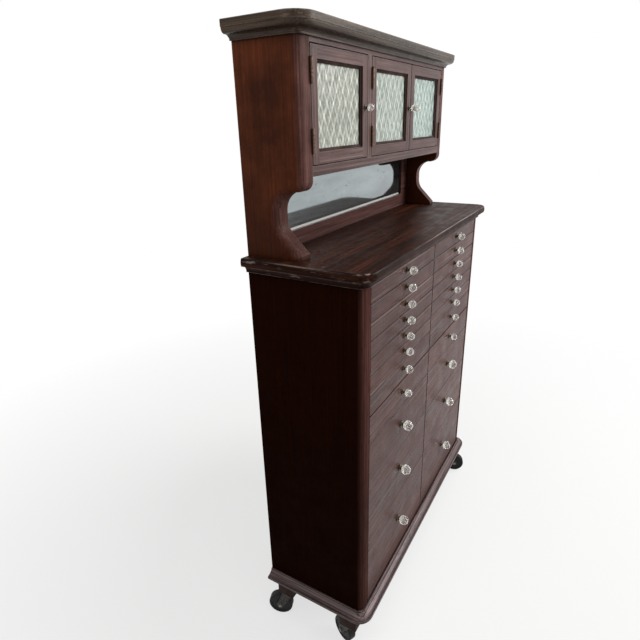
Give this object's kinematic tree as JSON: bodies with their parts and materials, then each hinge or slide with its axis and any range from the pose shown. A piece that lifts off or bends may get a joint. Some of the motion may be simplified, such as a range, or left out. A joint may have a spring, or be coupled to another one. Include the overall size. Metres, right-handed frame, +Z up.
{
  "type": "dental cabinet",
  "caption": "Free-standing wooden dental cabinet: drawer base on swivel casters, S-curved sides, mirror-backed nook and an upper cabinet with glazed doors.",
  "frame": {"origin": "on the floor, under the centre of the whole cabinet", "axes": "+Z up, -Y is the front with the drawers and doors, +X is the right side as one faces the cabinet"},
  "size_m": [0.996, 0.3532, 1.657],
  "materials": {
    "mahogany": "old satin varnish over dark reddish mahogany",
    "drawer_wood": "old satin varnish, greyer where the light falls on the fronts",
    "secondary_wood": "plain unvarnished inner wood",
    "aged_brass": "dark aged brass",
    "dark_iron": "dark brown iron",
    "black_rubber": "black",
    "figured_glass": "vertically rippled pale glass",
    "mirror": "bevelled silvered glass"
  },
  "bodies": {
    "cabinet": {"base_side_left": "mahogany", "base_side_right": "mahogany", "base_back": "secondary_wood", "base_floor": "secondary_wood", "centre_partition": "secondary_wood", "drawer_runners": "secondary_wood", "worktop": "mahogany", "plinth": "mahogany", "caster_blocks": "secondary_wood", "caster_plates": "dark_iron", "hutch_side_left": "mahogany", "hutch_side_right": "mahogany", "hutch_floor": "mahogany", "hutch_top": "mahogany", "hutch_mullion": "mahogany", "hutch_shelves": "secondary_wood", "hutch_back": "secondary_wood", "cornice": "mahogany", "mirror_frame": "mahogany", "mirror": "mirror", "fixed_hinge_halves": "aged_brass"},
    "drawer_left_1": {"drawer_left_1": "drawer_wood"},
    "drawer_left_2": {"drawer_left_2": "drawer_wood"},
    "drawer_left_3": {"drawer_left_3": "drawer_wood"},
    "drawer_left_4": {"drawer_left_4": "drawer_wood"},
    "drawer_left_5": {"drawer_left_5": "drawer_wood"},
    "drawer_left_6": {"drawer_left_6": "drawer_wood"},
    "drawer_left_7": {"drawer_left_7": "drawer_wood"},
    "drawer_left_8": {"drawer_left_8": "drawer_wood"},
    "drawer_left_9": {"drawer_left_9": "drawer_wood"},
    "drawer_left_10": {"drawer_left_10": "drawer_wood"},
    "drawer_left_11": {"drawer_left_11": "drawer_wood"},
    "drawer_right_1": {"drawer_right_1": "drawer_wood"},
    "drawer_right_2": {"drawer_right_2": "drawer_wood"},
    "drawer_right_3": {"drawer_right_3": "drawer_wood"},
    "drawer_right_4": {"drawer_right_4": "drawer_wood"},
    "drawer_right_5": {"drawer_right_5": "drawer_wood"},
    "drawer_right_6": {"drawer_right_6": "drawer_wood"},
    "drawer_right_7": {"drawer_right_7": "drawer_wood"},
    "drawer_right_8": {"drawer_right_8": "drawer_wood"},
    "drawer_right_9": {"drawer_right_9": "drawer_wood"},
    "drawer_right_10": {"drawer_right_10": "drawer_wood"},
    "drawer_right_11": {"drawer_right_11": "drawer_wood"},
    "door_left": {"door_left_frame": "drawer_wood", "door_left_glass": "figured_glass", "door_left_hardware": "aged_brass"},
    "door_middle": {"door_middle_frame": "drawer_wood", "door_middle_glass": "figured_glass", "door_middle_hardware": "aged_brass"},
    "door_right": {"door_right_frame": "drawer_wood", "door_right_glass": "figured_glass", "door_right_hardware": "aged_brass"},
    "caster_fork_front_left": {"caster_fork_front_left": "dark_iron"},
    "caster_wheel_front_left": {"caster_wheel_front_left": "black_rubber"},
    "caster_fork_front_right": {"caster_fork_front_right": "dark_iron"},
    "caster_wheel_front_right": {"caster_wheel_front_right": "black_rubber"},
    "caster_fork_rear_left": {"caster_fork_rear_left": "dark_iron"},
    "caster_wheel_rear_left": {"caster_wheel_rear_left": "black_rubber"},
    "caster_fork_rear_right": {"caster_fork_rear_right": "dark_iron"},
    "caster_wheel_rear_right": {"caster_wheel_rear_right": "black_rubber"}
  },
  "joints": [
    {"name": "drawer_left_1_slide", "type": "slide", "parent": "cabinet", "child": "drawer_left_1", "axis": [0, -1, 0], "range_m": [0, 0.21]},
    {"name": "drawer_left_2_slide", "type": "slide", "parent": "cabinet", "child": "drawer_left_2", "axis": [0, -1, 0], "range_m": [0, 0.21]},
    {"name": "drawer_left_3_slide", "type": "slide", "parent": "cabinet", "child": "drawer_left_3", "axis": [0, -1, 0], "range_m": [0, 0.21]},
    {"name": "drawer_left_4_slide", "type": "slide", "parent": "cabinet", "child": "drawer_left_4", "axis": [0, -1, 0], "range_m": [0, 0.21]},
    {"name": "drawer_left_5_slide", "type": "slide", "parent": "cabinet", "child": "drawer_left_5", "axis": [0, -1, 0], "range_m": [0, 0.21]},
    {"name": "drawer_left_6_slide", "type": "slide", "parent": "cabinet", "child": "drawer_left_6", "axis": [0, -1, 0], "range_m": [0, 0.21]},
    {"name": "drawer_left_7_slide", "type": "slide", "parent": "cabinet", "child": "drawer_left_7", "axis": [0, -1, 0], "range_m": [0, 0.21]},
    {"name": "drawer_left_8_slide", "type": "slide", "parent": "cabinet", "child": "drawer_left_8", "axis": [0, -1, 0], "range_m": [0, 0.21]},
    {"name": "drawer_left_9_slide", "type": "slide", "parent": "cabinet", "child": "drawer_left_9", "axis": [0, -1, 0], "range_m": [0, 0.21]},
    {"name": "drawer_left_10_slide", "type": "slide", "parent": "cabinet", "child": "drawer_left_10", "axis": [0, -1, 0], "range_m": [0, 0.21]},
    {"name": "drawer_left_11_slide", "type": "slide", "parent": "cabinet", "child": "drawer_left_11", "axis": [0, -1, 0], "range_m": [0, 0.21]},
    {"name": "drawer_right_1_slide", "type": "slide", "parent": "cabinet", "child": "drawer_right_1", "axis": [0, -1, 0], "range_m": [0, 0.21]},
    {"name": "drawer_right_2_slide", "type": "slide", "parent": "cabinet", "child": "drawer_right_2", "axis": [0, -1, 0], "range_m": [0, 0.21]},
    {"name": "drawer_right_3_slide", "type": "slide", "parent": "cabinet", "child": "drawer_right_3", "axis": [0, -1, 0], "range_m": [0, 0.21]},
    {"name": "drawer_right_4_slide", "type": "slide", "parent": "cabinet", "child": "drawer_right_4", "axis": [0, -1, 0], "range_m": [0, 0.21]},
    {"name": "drawer_right_5_slide", "type": "slide", "parent": "cabinet", "child": "drawer_right_5", "axis": [0, -1, 0], "range_m": [0, 0.21]},
    {"name": "drawer_right_6_slide", "type": "slide", "parent": "cabinet", "child": "drawer_right_6", "axis": [0, -1, 0], "range_m": [0, 0.21]},
    {"name": "drawer_right_7_slide", "type": "slide", "parent": "cabinet", "child": "drawer_right_7", "axis": [0, -1, 0], "range_m": [0, 0.21]},
    {"name": "drawer_right_8_slide", "type": "slide", "parent": "cabinet", "child": "drawer_right_8", "axis": [0, -1, 0], "range_m": [0, 0.21]},
    {"name": "drawer_right_9_slide", "type": "slide", "parent": "cabinet", "child": "drawer_right_9", "axis": [0, -1, 0], "range_m": [0, 0.21]},
    {"name": "drawer_right_10_slide", "type": "slide", "parent": "cabinet", "child": "drawer_right_10", "axis": [0, -1, 0], "range_m": [0, 0.21]},
    {"name": "drawer_right_11_slide", "type": "slide", "parent": "cabinet", "child": "drawer_right_11", "axis": [0, -1, 0], "range_m": [0, 0.21]},
    {"name": "door_left_hinge", "type": "hinge", "parent": "cabinet", "child": "door_left", "pos_m": [-0.4195, 0.00086, 1.4895], "axis": [0, 0, -1], "range_deg": [0, 105]},
    {"name": "door_middle_hinge", "type": "hinge", "parent": "cabinet", "child": "door_middle", "pos_m": [-0.12417, 0.00086, 1.4895], "axis": [0, 0, -1], "range_deg": [0, 105]},
    {"name": "door_right_hinge", "type": "hinge", "parent": "cabinet", "child": "door_right", "pos_m": [0.4195, 0.00086, 1.4895], "axis": [0, 0, 1], "range_deg": [0, 105]},
    {"name": "caster_front_left_swivel", "type": "hinge", "parent": "cabinet", "child": "caster_fork_front_left", "pos_m": [-0.46, -0.10664, 0.12], "axis": [0, 0, 1], "continuous": true},
    {"name": "caster_front_left_roll", "type": "hinge", "parent": "caster_fork_front_left", "child": "caster_wheel_front_left", "pos_m": [-0.44648, -0.07764, 0.0375], "axis": [-0.9063, 0.4226, 0], "continuous": true},
    {"name": "caster_front_right_swivel", "type": "hinge", "parent": "cabinet", "child": "caster_fork_front_right", "pos_m": [0.46, -0.10664, 0.12], "axis": [0, 0, 1], "continuous": true},
    {"name": "caster_front_right_roll", "type": "hinge", "parent": "caster_fork_front_right", "child": "caster_wheel_front_right", "pos_m": [0.47094, -0.13671, 0.0375], "axis": [0.9397, 0.342, 0], "continuous": true},
    {"name": "caster_rear_left_swivel", "type": "hinge", "parent": "cabinet", "child": "caster_fork_rear_left", "pos_m": [-0.46, 0.10836, 0.12], "axis": [0, 0, 1], "continuous": true},
    {"name": "caster_rear_left_roll", "type": "hinge", "parent": "caster_fork_rear_left", "child": "caster_wheel_rear_left", "pos_m": [-0.47094, 0.13843, 0.0375], "axis": [-0.9397, -0.342, 0], "continuous": true},
    {"name": "caster_rear_right_swivel", "type": "hinge", "parent": "cabinet", "child": "caster_fork_rear_right", "pos_m": [0.46, 0.10836, 0.12], "axis": [0, 0, 1], "continuous": true},
    {"name": "caster_rear_right_roll", "type": "hinge", "parent": "caster_fork_rear_right", "child": "caster_wheel_rear_right", "pos_m": [0.43943, 0.13287, 0.0375], "axis": [-0.766, -0.6428, 0], "continuous": true}
  ]
}
